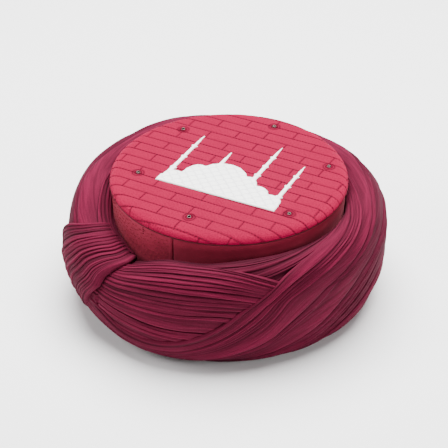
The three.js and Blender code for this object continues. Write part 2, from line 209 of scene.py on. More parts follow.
def catmull_rom(before, start, end, after, t):
    a, b = 2 * start, end - before
    c = 2 * before - 5 * start + 4 * end - after
    d = 3 * start - before - 3 * end + after
    return (a + b * t + c * t * t + d * t * t * t) / 2


# Where the loop pulls the roll's crest down: bearing, spread in degrees, and depth as a
# share of the crest's height
PINCHES = ((250, 17, 0.26), (226, 14, 0.15), (284, 16, 0.04))


def section_sizes(bearing):
    count = len(ROLL_SECTIONS)
    place = (bearing % 360) * count / 360
    first = np.floor(place).astype(int)
    rows = [ROLL_SECTIONS[(first + step) % count] for step in (-1, 0, 1, 2)]
    shares = catmull_rom(*rows, (place - first)[..., None])
    reach, top, wide, crest = np.moveaxis(shares, -1, 0)
    for middle, spread, depth in PINCHES:
        away = (bearing - middle + 180) % 360 - 180
        top = top * (1 - depth * np.exp(-((away / spread) ** 2)))
    return reach * ROLL_REACH, top * ROLL_HEIGHT, wide * ROLL_HEIGHT, crest * ROLL_REACH


def section_point(sizes, angle):
    reach, top, wide, crest = sizes
    cos, sin = np.cos(np.radians(angle)), np.sin(np.radians(angle))
    outer = np.where(sin > 0, ROLL_OUTER_POWER, ROLL_UNDER_POWER)
    power = 2 / np.where(cos > 0, outer, ROLL_INNER_POWER)
    out = np.sign(cos) * np.abs(cos) ** power
    up = np.sign(sin) * np.abs(sin) ** power
    radius = CAP_RADIUS + ROLL_SEAT_GAP + crest + out * np.where(cos > 0, reach - crest, crest)
    height = ROLL_FLOOR_GAP + wide + up * np.where(sin > 0, top - wide, wide)
    return radius, height


def round_line(centre, radius, turn, height):
    """Points at a radius and a turn, in radians, about an upright line."""
    x = centre[0] + radius * np.cos(turn)
    y = centre[1] + radius * np.sin(turn)
    return np.stack([x, y, height + 0 * x], -1)


FLOOR_CLEARANCE = 1.2
SLOPE_STEP = 1


def core_point(bearing, angle, lift):
    """Points on the core raised square to it by lift, kept clear of the cap and the floor."""
    sizes = section_sizes(bearing)
    radius, height = section_point(sizes, angle)
    back_radius, back_height = section_point(sizes, angle - SLOPE_STEP)
    ahead_radius, ahead_height = section_point(sizes, angle + SLOPE_STEP)
    step = np.hypot(ahead_radius - back_radius, ahead_height - back_height)
    radius = radius + lift * (ahead_height - back_height) / step
    height = height - lift * (ahead_radius - back_radius) / step
    room = np.where(height > CAP_HEIGHT - CLEARANCE, LID_RADIUS, CAP_RADIUS) + CLEARANCE
    radius = np.maximum(radius, room)
    return round_line(AXIS, radius, np.radians(bearing), np.maximum(height, FLOOR_CLEARANCE))


# Strips of cloth, a row for each station: bearing and angle of the lower and the
# upper edge, and the share of the turn's thickness

FRONT_TURN = np.array([
    (222, -48, 230, 70, 0.6),
    (243, -50, 245, 76, 0.95),
    (257, -54, 258, 80, 1.0),
    (268, -60, 269, 81, 1.0),
    (279, -74, 280, 85, 1.0),
    (290, -86, 291, 83, 1.0),
    (300, -95, 301, 70, 1.0),
    (309, -103, 310, 50, 1.0),
    (318, -110, 319, 26, 0.8),
    (326, -112, 327, 8, 0.6),
])
INNER_TURN = np.array([
    (255, 0, 255, 120, 0.8),
    (270, 0, 270, 124, 0.7),
    (287, 0, 287, 126, 0.7),
    (303, 4, 303, 120, 0.9),
    (318, 24, 318, 122, 1.0),
    (333, 50, 333, 133, 1.0),
    (348, 75, 348, 144, 1.0),
    (366, 98, 366, 156, 0.8),
])
OUTER_TURN = np.array([
    (232, -130, 249, 150, 0.8),
    *((bearing, -130, bearing, 150, 1.0) for bearing in (205, 165, 125, 85, 45)),
    (12, -130, 18, 128, 1.0),
    (-12, -130, -6, 99, 1.0),
    (-27, -130, -26, 75, 1.0),
    (-38, -130, -38, 50, 1.0),
    (-48, -130, -48, 17, 1.0),
    (-58, -130, -58, -3, 1.0),
    (-70, -130, -70, -20, 1.05),
    (-84, -130, -84, -31, 1.1),
    (-98, -130, -98, -29, 1.1),
    (-110, -130, -110, -17, 1.0),
    (-122, -130, -122, -10, 1.0),
])
KNOT_LOOP = np.array([
    (247, 150, 228, 150, 0.4),
    (250, 122, 228, 122, 0.5),
    (253, 98, 229, 104, 0.7),
    (254, 80, 229, 87, 0.85),
    (251, 60, 227, 67, 1.0),
    (249, 42, 222, 46, 1.1),
    (248, 24, 217, 26, 1.15),
    (244, 2, 212, 4, 1.22),
    (240, -22, 208, -20, 1.05),
    (236, -56, 206, -50, 0.6),
    (234, -90, 208, -88, 0.5),
    (234, -130, 212, -130, 0.5),
])

# A pleat's section from one crease to the next: a folded edge that stands up steeply,
# then a long slope that tucks under the next folded edge, with finer creases across it
PLEAT_PLACE = np.array((0.0, 0.035, 0.09, 0.17, 0.27, 0.37, 0.48, 0.59, 0.7, 0.8, 0.89, 0.96))
PLEAT_HEIGHT = np.array((0.0, 0.5, 0.86, 1.0, 0.99, 0.94, 0.87, 0.78, 0.67, 0.55, 0.42, 0.26))
PLEAT_OPENNESS = np.array((1.0, 0.9, 0.5, 0.15, 0.1, 0.15, 0.25, 0.35, 0.5, 0.65, 0.8, 0.95))


def stations(table, steps):
    place = np.linspace(0, len(table) - 1, steps)
    first = np.minimum(place.astype(int), len(table) - 2)
    rows = [table[np.clip(first + step, 0, len(table) - 1)] for step in (-1, 0, 1, 2)]
    return catmull_rom(*rows, (place - first)[:, None]).T


def wander(rng, count, along, wavelengths):
    """Smooth random curves between -1 and 1, one for each of count folds."""
    total = np.zeros((len(along), count))
    for wavelength in wavelengths:
        phase = rng.uniform(0, 2 * math.pi, count)
        total += np.sin(2 * math.pi * along[:, None] / wavelength + phase)
    return total / len(wavelengths)


EDGE_STATIONS = 400
TUCK_MARGIN = 3
TUCK_FADE = 9


def upper_edge(table):
    """A strip's upper edge, as the angle that it has at each bearing."""
    bearing, angle = stations(table, EDGE_STATIONS)[2:4]
    order = np.argsort(bearing % 360)
    return lambda at: np.interp(at % 360, (bearing % 360)[order], angle[order])


def eased(share):
    """A share from 0 to 1 that starts and ends gently."""
    return share * share * (3 - 2 * share)


def tucked(bearing, angle, covers):
    """How far a point lies under the strips that cover it: 0 in the open, 1 well under."""
    share = np.zeros_like(angle)
    for first, last, edge in covers:
        within = ((bearing - first) % 360) < (last - first) % 360
        depth = np.clip((edge(bearing) - TUCK_MARGIN - angle) / TUCK_FADE, 0, 1)
        share = np.maximum(share, np.where(within, eased(depth), 0))
    return share


# How folds wander along a strip: wavelengths in millimetres, and shares of a pleat
DRIFT_WAVES, DRIFT = (310, 170), 0.25
SHARP_WAVES, SHARP_MEAN, SHARP_LEAST = (230, 120), 0.8, 0.05
HEIGHT_WAVES, HEIGHT_MEAN, HEIGHT_WANDER = (260, 150), 0.78, 0.25
HEIGHT_SPREAD = (-0.25, 0.22)
FINE_WAVES, FINE_HEIGHT = (210, 97, 61), 0.22
OPEN_HEIGHT = 0.95

# A pleat narrower than this is shallower, down to a least share of the depth
FULL_PLEAT = 5
LEAST_DEPTH = 0.3

# The strip's edges roll over to its underside through these turns, with a set level of painted shade on
# them
EDGE_ROLL = np.radians(np.array((30, 60, 90, 130, 170)))
EDGE_FOLD = 0.7
UNDERSIDE = np.linspace(0.97, 0.03, 14)
RULER = np.linspace(0, 1, 25)


def pleated_strip(
    table, steps, pleats, seed, top, depth, floor, uneven=0.5, lean=None, widths=None, covers=(), sink=0
):
    """Loops of points for a strip of pleated cloth, its cloth coordinates and its folds.

    top, depth, floor and sink are millimetres: how high the folded edges stand, how deep
    the pleats are, where the underside lies, and how far the strip sinks under its covers.
    """
    rng = np.random.default_rng(seed)
    low_bearing, low_angle, high_bearing, high_angle, thick = stations(table, steps)

    def at(across, lift):
        bearing = low_bearing[:, None] * (1 - across) + high_bearing[:, None] * across
        angle = low_angle[:, None] * (1 - across) + high_angle[:, None] * across
        return core_point(bearing, angle, lift - sink * tucked(bearing, angle, covers))

    middle = at(0.5, 0)[:, 0]
    along = np.hstack([[0], np.cumsum(np.linalg.norm(np.diff(middle, axis=0), axis=1))])
    width = np.linalg.norm(np.diff(at(RULER, 0), axis=1), axis=2).sum(1)

    if widths is None:
        widths = np.exp(uneven * rng.standard_normal(pleats))
    edges = np.hstack([[0], np.cumsum(widths)]) / np.sum(widths)
    drift = wander(rng, pleats + 1, along, DRIFT_WAVES) * DRIFT
    drift[:, 1:-1] *= np.minimum(np.diff(edges)[:-1], np.diff(edges)[1:])
    drift[:, [0, -1]] = 0
    edges = edges + drift
    if lean is not None:
        edges = edges + lean(along[:, None] / along[-1]) * 4 * edges * (1 - edges)
    sharp = SHARP_MEAN + SHARP_MEAN * wander(rng, pleats, along, SHARP_WAVES)
    sharp = np.clip(sharp, SHARP_LEAST, 1)[:, :, None]
    height = HEIGHT_MEAN + HEIGHT_WANDER * wander(rng, pleats, along, HEIGHT_WAVES)
    height = height + rng.uniform(*HEIGHT_SPREAD, pleats)

    start, end = edges[:, :-1, None], edges[:, 1:, None]
    across = (start + (end - start) * PLEAT_PLACE).reshape(steps, -1)
    filled = PLEAT_HEIGHT + (1 - sharp) * (OPEN_HEIGHT - PLEAT_HEIGHT) * PLEAT_OPENNESS
    columns = len(PLEAT_PLACE)
    fine = wander(rng, pleats * columns, along, FINE_WAVES).reshape(steps, pleats, columns)
    fine = fine * FINE_HEIGHT * (1 - PLEAT_OPENNESS)
    fold = (filled * height[:, :, None] + fine).reshape(steps, -1)
    across = np.hstack([across, np.ones((steps, 1))])
    fold = np.hstack([fold, fold[:, :1]])
    room = np.clip(np.diff(edges, axis=1) * width[:, None] / FULL_PLEAT, LEAST_DEPTH, 1)
    room = np.repeat(room, columns, axis=1)
    room = np.hstack([room, room[:, :1]])
    lift = thick[:, None] * top - depth * room * (1 - fold)

    high_radius = (lift[:, -1:] - floor) / 2
    low_radius = (lift[:, :1] - floor) / 2
    high_across = 1 + high_radius * np.sin(EDGE_ROLL) / width[:, None]
    high_lift = floor + high_radius * (1 + np.cos(EDGE_ROLL))
    low_across = -low_radius * np.sin(EDGE_ROLL[::-1]) / width[:, None]
    low_lift = floor + low_radius * (1 + np.cos(EDGE_ROLL[::-1]))
    inner = UNDERSIDE[None, :].repeat(steps, 0)

    across = np.hstack([low_across, across, high_across, inner])
    lift = np.hstack([low_lift, lift, high_lift, floor + 0 * inner])
    edge_fold = np.full((steps, len(EDGE_ROLL)), EDGE_FOLD)
    fold = np.hstack([edge_fold, fold, edge_fold, 0 * inner])
    points = at(across, lift)
    cloth = np.stack([along[:, None] + 0 * across, across * width.mean()], -1)
    return points, cloth, np.clip(fold, 0, 1)


def closed_mesh(name, points, faces, material, cloth, fold):
    """A smooth closed mesh from points in millimetres, with its cloth coordinates and its painted
    shade, kept as the fold attribute.
    """
    mesh = bpy.data.meshes.new(name)
    mesh.from_pydata((points.reshape(-1, 3) * MM).tolist(), [], faces)
    corner = np.empty(len(mesh.loops), dtype=np.int32)
    mesh.loops.foreach_get("vertex_index", corner)
    layer = mesh.uv_layers.new(name="cloth")
    layer.data.foreach_set("uv", (cloth.reshape(-1, 2)[corner] * MM).ravel())
    painted_shade_layer = mesh.attributes.new("fold", "FLOAT", "POINT")
    painted_shade_layer.data.foreach_set("value", fold.ravel().astype(np.float32))
    mesh.polygons.foreach_set("use_smooth", np.ones(len(mesh.polygons), dtype=bool))
    work = bmesh.new()
    work.from_mesh(mesh)
    if work.calc_volume(signed=True) < 0:
        bmesh.ops.reverse_faces(work, faces=work.faces)
    work.to_mesh(mesh)
    work.free()
    mesh.materials.append(material)
    return placed(name, mesh)


def lofted(name, points, material, cloth, fold, ring=False):
    """A closed surface through loops of points. In a ring, the last loop joins the first."""
    loops, count = points.shape[:2]
    spans = loops if ring else loops - 1
    i, j = np.meshgrid(np.arange(spans), np.arange(count), indexing="ij")
    ahead, beside = (i + 1) % loops, (j + 1) % count
    quads = np.stack([i * count + j, i * count + beside, ahead * count + beside, ahead * count + j], -1)
    faces = quads.reshape(-1, 4).tolist()
    if not ring:
        faces.append(list(range(count))[::-1])
        faces.append([(loops - 1) * count + k for k in range(count)])
    return closed_mesh(name, points, faces, material, cloth, fold)


def carry(piece, slot, *nodes):
    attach(piece, "root")
    if nodes:
        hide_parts(*nodes)


# The turns of cloth

UNDER_OUTER = (236, 366, upper_edge(OUTER_TURN))
UNDER_FRONT = (240, 326, upper_edge(FRONT_TURN))

INNER_STATIONS = 240
INNER_POINTS = 72
ROLL_RIPPLE = 0.35
ROLL_SINK = 0.45
RIPPLES_ROUND = 17
RIPPLES_ALONG = 3
# The roll's even level of painted shade, and how much darker its pleated front's painted shade gets
# towards the cap
ROLL_FOLD = 0.5
INNER_SHADE = 0.9

# Millimetres of cloth in a degree of bearing and of angle, for the roll's weave
BEARING_CLOTH = 1.9
ANGLE_CLOTH = 0.6


def add_inner_turn():
    """The wound roll under the outer turns, all round, and its pleated front that shows."""
    bearing, angle = np.meshgrid(
        np.linspace(0, 360, INNER_STATIONS, endpoint=False),
        np.linspace(-180, 180, INNER_POINTS, endpoint=False),
        indexing="ij",
    )
    ripple = ROLL_RIPPLE * np.sin(np.radians(angle * RIPPLES_ROUND + bearing * RIPPLES_ALONG))
    points = core_point(bearing, angle, ripple - ROLL_SINK)
    cloth = np.stack([bearing * BEARING_CLOTH, angle * ANGLE_CLOTH], -1)
    roll = lofted("inner_turn_roll", points, WRAP_CLOTH, cloth, ROLL_FOLD + 0 * angle, ring=True)
    carry(roll, "wrap_cloth", "inner_turn")
    points, cloth, fold = pleated_strip(
        INNER_TURN, steps=120, pleats=10, seed=21, top=2.4, depth=3.0, floor=-1.5,
        covers=(UNDER_FRONT, UNDER_OUTER), sink=3,
    )
    # Its folds get painted shade, darker towards the cap, which shades them
    across = cloth[..., 1] / cloth[..., 1].max()
    shade = fold**1.5 * (1 - INNER_SHADE * np.clip(across, 0, 1))
    front = lofted("inner_turn_front", points, WRAP_CLOTH, cloth, shade)
    carry(front, "wrap_cloth")


def add_front_turn():
    points, cloth, fold = pleated_strip(
        FRONT_TURN, steps=160, pleats=25, seed=11, top=4.3, depth=2.5, floor=0.4, uneven=0.6,
        covers=(UNDER_OUTER,), sink=3.6,
    )
    turn = lofted("front_turn_cloth", points, WRAP_CLOTH, cloth, fold)
    carry(turn, "wrap_cloth", "front_turn")


# The outer turn's pleats from its lower edge to its upper one
PLEATS_UNDER_ROLL = (1.5, 1.2, 1.6, 1.1, 1.4, 1.0)
PLEATS_ON_SIDE = (0.7, 1.1, 0.6, 0.9, 0.6, 0.8)
PLEATS_OF_PANEL = (3.2, 0.9, 2.9)
PLEATS_ALONG_EDGE = (0.5, 0.7, 0.5, 0.8, 1.9)
OUTER_PLEATS = np.array(PLEATS_UNDER_ROLL + PLEATS_ON_SIDE + PLEATS_OF_PANEL + PLEATS_ALONG_EDGE)

# Where along the outer turn its folds bunch towards its upper edge, or away from it
OUTER_LEAN = np.array([
    (0.0, -0.1),
    (0.04, -0.09),
    (0.1, 0.02),
    (0.19, 0.1),
    (0.35, 0.03),
    (0.5, 0.03),
    (0.62, 0.12),
    (0.7, 0.03),
    (0.77, -0.12),
    (0.86, -0.05),
    (1.0, 0.0),
])
LEAN_BLUR = (-0.03, -0.015, 0, 0.015, 0.03)


def outer_lean(along):
    smooth = [np.interp(along + shift, *OUTER_LEAN.T) for shift in LEAN_BLUR]
    return np.mean(smooth, axis=0)


def add_outer_turn():
    points, cloth, fold = pleated_strip(
        OUTER_TURN, steps=270, pleats=len(OUTER_PLEATS), seed=5, top=6.6, depth=3.0, floor=0.6,
        lean=outer_lean, widths=OUTER_PLEATS,
    )
    turn = lofted("outer_turn_cloth", points, WRAP_CLOTH, cloth, fold)
    carry(turn, "wrap_cloth", "outer_turn")


def add_knot_loop():
    points, cloth, fold = pleated_strip(
        KNOT_LOOP, steps=180, pleats=17, seed=8, top=8.6, depth=2.7, floor=2.0, uneven=0.35
    )
    loop = lofted("knot_loop_cloth", points, WRAP_CLOTH, cloth, fold)
    carry(loop, "wrap_cloth", "knot_loop")


add_inner_turn()
add_front_turn()
add_outer_turn()
add_knot_loop()

# The cap: its lid's places are given along the surface from the crown's axis, so that
# the quilting runs over the rounded edge

LID_ROUNDING = 9
LID_RISE = LID_TOP - LID_BASE
LID_WALL = 3
LID_GRID = 226
PATTERN_SHIFT = np.array((3.3, 2.0))
PATTERN_TURN = 1.8
BRICK_TURN = -1.5
BRICK_LENGTH = 43
BRICK_ROW = 10.58
BRICK_ROW_PLACE = 1.7
BRICK_JOINT_PLACE = -1.5

# Where the quilting's lines run, how far and how fast they waver, and the points that
# the shortest stretch of one may have
BRICK_ROWS = range(-11, 10)
BRICK_COLUMNS = range(-3, 4)
LINE_REACH = 100
LINE_STEP = 0.4
ROW_WAVER, ROW_WAVE = 0.5, 23
JOINT_WAVER, JOINT_WAVE = 0.3, 3
SHORTEST_RUN = 3

# The lid's edge from the flat outwards: turn, radius, height, and run along the surface
EDGE_STEPS = 200
EDGE_TURN = np.linspace(0, math.pi / 2, EDGE_STEPS)
EDGE_RADIUS = LID_RADIUS - LID_ROUNDING * (1 - np.sin(EDGE_TURN))
EDGE_HEIGHT = LID_TOP - LID_RISE * (1 - np.cos(EDGE_TURN))
EDGE_PARTS = np.hypot(np.diff(EDGE_RADIUS), np.diff(EDGE_HEIGHT))
EDGE_RUN = LID_RADIUS - LID_ROUNDING + np.hstack([[0], np.cumsum(EDGE_PARTS)])
LEAST_RUN = 1e-6


def on_lid(place, lift):
    """The point on the lid at a place measured along its surface from the crown's axis."""
    run = np.maximum(np.linalg.norm(place, axis=-1), LEAST_RUN)
    way = place / run[..., None]
    radius = np.where(run < EDGE_RUN[0], run, np.interp(run, EDGE_RUN, EDGE_RADIUS))
    height = np.where(run < EDGE_RUN[0], LID_TOP, np.interp(run, EDGE_RUN, EDGE_HEIGHT))
    turn = np.interp(run, EDGE_RUN, EDGE_TURN)
    slope_out, slope_up = LID_RISE * np.sin(turn), LID_ROUNDING * np.cos(turn)
    size = np.hypot(slope_out, slope_up)
    radius = radius + lift * slope_out / size
    height = height + lift * slope_up / size
    return np.concatenate([AXIS + way * radius[..., None], height[..., None]], -1)


def turned(place, degrees):
    cos, sin = math.cos(math.radians(degrees)), math.sin(math.radians(degrees))
    x, y = place[..., 0], place[..., 1]
    return np.stack([x * cos - y * sin, x * sin + y * cos], -1)


def pattern_place(place):
    """A point of the badge's and the bricks' pattern, from the crown's axis."""
    return PATTERN_SHIFT + turned(place, PATTERN_TURN)


def brick_place(place):
    return PATTERN_SHIFT + turned(place, PATTERN_TURN + BRICK_TURN)


def from_brick_place(place):
    return turned(place - PATTERN_SHIFT, -PATTERN_TURN - BRICK_TURN)


# In metres: corners nearer than the first are one, and ones this near the top are on it
WELD = 1e-6
TOP_SLACK = 1e-5


def badge_outline():
    """The border of the CAD badge's upper face: pairs of points, from the crown's axis."""
    work = bmesh.new()
    work.from_mesh(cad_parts["mosque_motif"].data)
    bmesh.ops.remove_doubles(work, verts=work.verts, dist=WELD)
    top = max(vert.co.z for vert in work.verts) - TOP_SLACK
    upper = {face for face in work.faces if all(vert.co.z > top for vert in face.verts)}
    borders = [
        [(vert.co.x / MM - AXIS[0], vert.co.y / MM - AXIS[1]) for vert in edge.verts]
        for edge in work.edges
        if sum(face in upper for face in edge.link_faces) == 1
    ]
    work.free()
    return np.array(borders)


BADGE_OUTLINE = badge_outline()


def nearest_on_badge(place):
    """Each place's nearest point on the badge's border, its distance, and whether it is inside."""
    start, end = BADGE_OUTLINE[:, 0], BADGE_OUTLINE[:, 1]
    span = end - start
    offset = place[:, None] - start
    share = np.clip((offset * span).sum(-1) / (span * span).sum(-1), 0, 1)
    foot = start + share[..., None] * span
    distance = np.linalg.norm(place[:, None] - foot, axis=-1)
    best = distance.argmin(1)
    rows = np.arange(len(place))
    above = start[:, 1] > place[:, None, 1]
    crossing = above != (end[:, 1] > place[:, None, 1])
    rise = np.where(span[:, 1] == 0, 1, span[:, 1])
    meet = start[:, 0] + (place[:, None, 1] - start[:, 1]) / rise * span[:, 0]
    inside = (crossing & (place[:, None, 0] < meet)).sum(1) % 2 == 1
    return foot[rows, best], distance[rows, best], inside


def brick_lines():
    """The quilting's lines in the bricks' own frame: rows, and the joints between bricks."""
    lines = []
    across = np.arange(-LINE_REACH, LINE_REACH, LINE_STEP)
    up = np.arange(0, BRICK_ROW, LINE_STEP)
    for row in BRICK_ROWS:
        level = BRICK_ROW_PLACE + row * BRICK_ROW
        waver = ROW_WAVER * np.sin(across / ROW_WAVE + row * 2)
        lines.append(np.stack([across, level + waver], -1))
        shift = BRICK_JOINT_PLACE + (0 if row % 2 else BRICK_LENGTH / 2)
        for column in BRICK_COLUMNS:
            waver = JOINT_WAVER * np.sin(up / JOINT_WAVE + row + column)
            joint = shift + column * BRICK_LENGTH + waver
            lines.append(np.stack([joint, level + up], -1))
    return lines


def kept_runs(points, keep):
    """The stretches of a line whose points are all kept."""
    runs, run = [], []
    for point, kept in zip(points, keep):
        if kept:
            run.append(point)
        elif run:
            runs.append(run)
            run = []
    return [run for run in runs + [run] if len(run) > SHORTEST_RUN]


def stitch_tree():
    """Stitches of one thread laid end to end along every edge of the piece's lines."""
    tree = bpy.data.node_groups.new("running_stitch", "GeometryNodeTree")
    sockets = {"Pitch": "Float", "Stitch length": "Float", "Thread width": "Float"}
    for name, kind in {"Lines": "Geometry", **sockets, "Thread": "Material"}.items():
        tree.interface.new_socket(name, in_out="INPUT", socket_type="NodeSocket" + kind)
    tree.interface.new_socket("Stitches", in_out="OUTPUT", socket_type="NodeSocketGeometry")
    given = node(tree, "NodeGroupInput").outputs
    curves = node(tree, "GeometryNodeMeshToCurve", {"Mesh": given["Lines"]})
    spacing = {"Curve": curves, "Length": given["Pitch"]}
    spaced = node(tree, "GeometryNodeResampleCurve", spacing, mode="LENGTH")
    tangent = node(tree, "GeometryNodeInputTangent")
    turn = node(tree, "FunctionNodeAlignRotationToVector", {"Vector": tangent}, axis="X")
    bead = node(tree, "GeometryNodeMeshUVSphere", {"Segments": 6, "Rings": 4, "Radius": 0.5})
    length, width = given["Stitch length"], given["Thread width"]
    size = node(tree, "ShaderNodeCombineXYZ", {"X": length, "Y": width, "Z": width})
    beads = {"Points": spaced, "Instance": bead, "Rotation": turn, "Scale": size}
    laid = node(tree, "GeometryNodeInstanceOnPoints", beads)
    real = node(tree, "GeometryNodeRealizeInstances", {"Geometry": laid})
    smooth = node(tree, "GeometryNodeSetShadeSmooth", {0: real})
    thread = {"Geometry": smooth, "Material": given["Thread"]}
    done = node(tree, "GeometryNodeSetMaterial", thread)
    node(tree, "NodeGroupOutput", {"Stitches": done})
    return tree


STITCH_TREE = stitch_tree()


def sew(name, lines, thread, slot, pitch, length, width):
    """Adds one piece of stitches along lines of points in millimetres."""
    points, edges = [], []
    for line in lines:
        edges += [(len(points) + k, len(points) + k + 1) for k in range(len(line) - 1)]
        points += [tuple(point) for point in line]
    mesh = bpy.data.meshes.new(name)
    mesh.from_pydata([[c * MM for c in point] for point in points], edges, [])
    base = placed(name + "_lines", mesh)
    modifier = base.modifiers.new("stitches", "NODES")
    modifier.node_group = STITCH_TREE
    values = {"Pitch": pitch * MM, "Stitch length": length * MM, "Thread width": width * MM}
    values["Thread"] = thread
    for item in STITCH_TREE.interface.items_tree:
        if item.in_out == "INPUT" and item.name in values:
            modifier[item.identifier] = values[item.name]
    seen = base.evaluated_get(bpy.context.evaluated_depsgraph_get())
    made = bpy.data.meshes.new_from_object(seen)
    bpy.data.objects.remove(base)
    made.name = name
    carry(placed(name, made), slot)


def quilted_cloth():
    """Cotton in raspberry red, quilted in bricks: matt, a fine grain, with painted shade in the sewn
    lines and painted light on the rounded rim.
    """
    surface = {
        "Roughness": 0.9,
        "Specular IOR Level": 0.06,
        "Sheen Weight": 0.02,
        "Sheen Roughness": 0.5,
        "Sheen Tint": "#FFB4C4",
    }
    material, tree, shader = new_material("quilted_cotton_raspberry", surface)
    place = node(tree, "ShaderNodeUVMap", uv_map="cloth")
    seam = node(tree, "ShaderNodeAttribute", attribute_name="fold").outputs["Fac"]
    grain = node(tree, NOISE, {"Vector": place, "Scale": 900, "Detail": 2})
    cloud = node(tree, NOISE, {"Vector": place, "Scale": 45, "Detail": 3})
    tone = node(tree, MIX, {"Fac": cloud, "Color1": "#8E0534", "Color2": "#9D0A3A"})
    slub = node(tree, RANGE, {"Value": grain, "From Min": 0.3, "From Max": 0.62, "To Min": 0.66})
    woven = node(tree, MIX, {"Fac": 1, "Color1": tone, "Color2": slub}, blend_type="MULTIPLY")
    # The fold attribute mixes in painted shade: deep in the sewn lines and rings, least on the rounded
    # rim
    lined = node(tree, MIX, {"Fac": seam, "Color1": "#3C0312", "Color2": woven})
    bump = node(tree, BUMP, {"Strength": 0.6, "Distance": 0.0004, "Height": grain})
    connect(tree, shader, {"Base Color": lined, "Normal": bump})
    return material


def band_cloth(name, low_tone, high_tone):
    """Wool felt: matt, with a soft tufted grain, and darker where its seam is pressed in."""
    surface = {
        "Roughness": 0.95,
        "Specular IOR Level": 0.15,
        "Sheen Weight": 0.3,
        "Sheen Roughness": 0.5,
        "Sheen Tint": "#E28090",
    }
    material, tree, shader = new_material(name, surface)
    place = node(tree, "ShaderNodeUVMap", uv_map="cloth")
    seam = node(tree, "ShaderNodeAttribute", attribute_name="fold").outputs["Fac"]
    cloud = node(tree, NOISE, {"Vector": place, "Scale": 120, "Detail": 4})
    tone = node(tree, MIX, {"Fac": cloud, "Color1": low_tone, "Color2": high_tone})
    shaded = node(tree, MIX, {"Fac": 1, "Color1": tone, "Color2": seam}, blend_type="MULTIPLY")
    grain = node(tree, NOISE, {"Vector": place, "Scale": 700, "Detail": 3})
    bump = node(tree, BUMP, {"Strength": 0.4, "Distance": 0.0004, "Height": grain})
    connect(tree, shader, {"Base Color": shaded, "Normal": bump})
    return material


def satin_thread():
    """White rayon embroidery thread in satin stitch: bright, a silky gleam, fine ridges."""
    surface = {"Roughness": 0.5, "Sheen Weight": 0.2}
    material, tree, shader = new_material("rayon_satin_stitch_white", surface)
    seam = node(tree, "ShaderNodeAttribute", attribute_name="fold").outputs["Fac"]
    tone = node(tree, MIX, {"Fac": seam, "Color1": "#CECCD0", "Color2": "#FAFAF8"})
    place = node(tree, "ShaderNodeTexCoord").outputs["Object"]
    slant = {"Vector": place, "Rotation": (0, 0, 0.35), "Scale": (2200, 250, 1)}
    along = node(tree, MAPPING, slant)
    ridges = node(tree, NOISE, {"Vector": along, "Scale": 1, "Detail": 2})
    bump = node(tree, BUMP, {"Strength": 0.5, "Distance": 0.0003, "Height": ridges})
    connect(tree, shader, {"Base Color": tone, "Normal": bump})
    return material


THREAD_SHADE = 0.75


def sewing_thread(name, hex_code):
    """Twisted polyester sewing thread: nearly matt, darker where its strands meet."""
    surface = {"Roughness": 0.7, "Specular IOR Level": 0.1}
    material, tree, shader = new_material(name, surface)
    place = node(tree, "ShaderNodeTexCoord").outputs["Object"]
    twist = node(tree, NOISE, {"Vector": place, "Scale": 2500, "Detail": 1})
    bright = colour(hex_code)
    shaded = (*(THREAD_SHADE * channel for channel in bright[:3]), 1)
    tone = node(tree, MIX, {"Fac": twist, "Color1": shaded, "Color2": bright})
    connect(tree, shader, {"Base Color": tone})
    return material


QUILTED_CLOTH = quilted_cloth()
BAND_CLOTH = band_cloth("wool_felt_dark_red", "#7E1C32", "#98263F")
SATIN_THREAD = satin_thread()
CRIMSON_THREAD = sewing_thread("polyester_thread_crimson", "#540A20")
BAND_THREAD = sewing_thread("polyester_thread_brick_red", "#96303E")
LID_THREAD = sewing_thread("polyester_thread_raspberry", "#7A0C2C")
# The piping's near-black red is partly its own dark crimson and partly painted shadow under the lid's
# edge
PIPING_CLOTH_AND_SHADOW = band_cloth("wool_felt_piping_dark_crimson_painted_shadow", "#3E0814", "#4C0C1C")


def line_distance(place):
    """How far a point is from the nearest line of the quilting, in millimetres."""
    x, y = np.moveaxis(from_brick_place(place), -1, 0)
    row = np.floor((y - BRICK_ROW_PLACE) / BRICK_ROW)
    up = y - BRICK_ROW_PLACE - row * BRICK_ROW
    shift = BRICK_JOINT_PLACE + np.where(row % 2 == 1, 0, BRICK_LENGTH / 2)
    along = (x - shift) % BRICK_LENGTH
    from_row = np.minimum(up, BRICK_ROW - up)
    from_joint = np.minimum(along, BRICK_LENGTH - along)
    return np.minimum(from_row, from_joint)


# The eyelets: their circle, and their section's radii and heights
EYELET_COUNT = 6
EYELET_FIRST_BEARING = 30
EYELET_CIRCLE = LID_RADIUS - 19
EYELET_BORE = 1.0
EYELET_REACH = 1.75
# The floor that closes the bore, and the rim's inner lip, are painted near black as the shade down the
# hole
EYELET_THROAT = 0.05
EYELET_WALL = 0.5
EYELET_SHADE_REACH = 0.1
EYELET_FOOT = 0.5
EYELET_SEAT = 0.2
EYELET_SHOULDER = 0.25
EYELET_RIM_BASE = 0.3
EYELET_RIM_RISE = 0.6
EYELET_SIDES = 32
EYELET_RIM_POINTS = 9

# The sewn rings round an eyelet: radius, pitch, stitch length and thread width
RING_STITCHES = ((2.7, 1.0, 0.9, 0.8), (4.6, 1.6, 1.1, 0.5))
RING_POINTS = 60
RING_LIFT = 0.15


def eyelet_places():
    bearings = np.radians(EYELET_FIRST_BEARING + 360 / EYELET_COUNT * np.arange(EYELET_COUNT))
    circle = EYELET_CIRCLE * np.stack([np.cos(bearings), np.sin(bearings)], -1)
    return pattern_place(circle)


# The lid's padding between its sewn lines, and the fade of it at the rim
PUFF, PUFF_REACH = 0.2, 4
GROOVE, GROOVE_WIDTH = 0.25, 0.8
PUFF_FADE = 6

# Its painted light and shade: the flat painted darker, as a share of the rounded rim's light, and
# painted shade in the sewn lines and rings
FLAT_PAINTED_LIGHT = 0.66
LINE_SHADE, LINE_WIDTH = 0.8, 0.5
RING_SHADE, RING_WIDTH = 1.1, 0.6

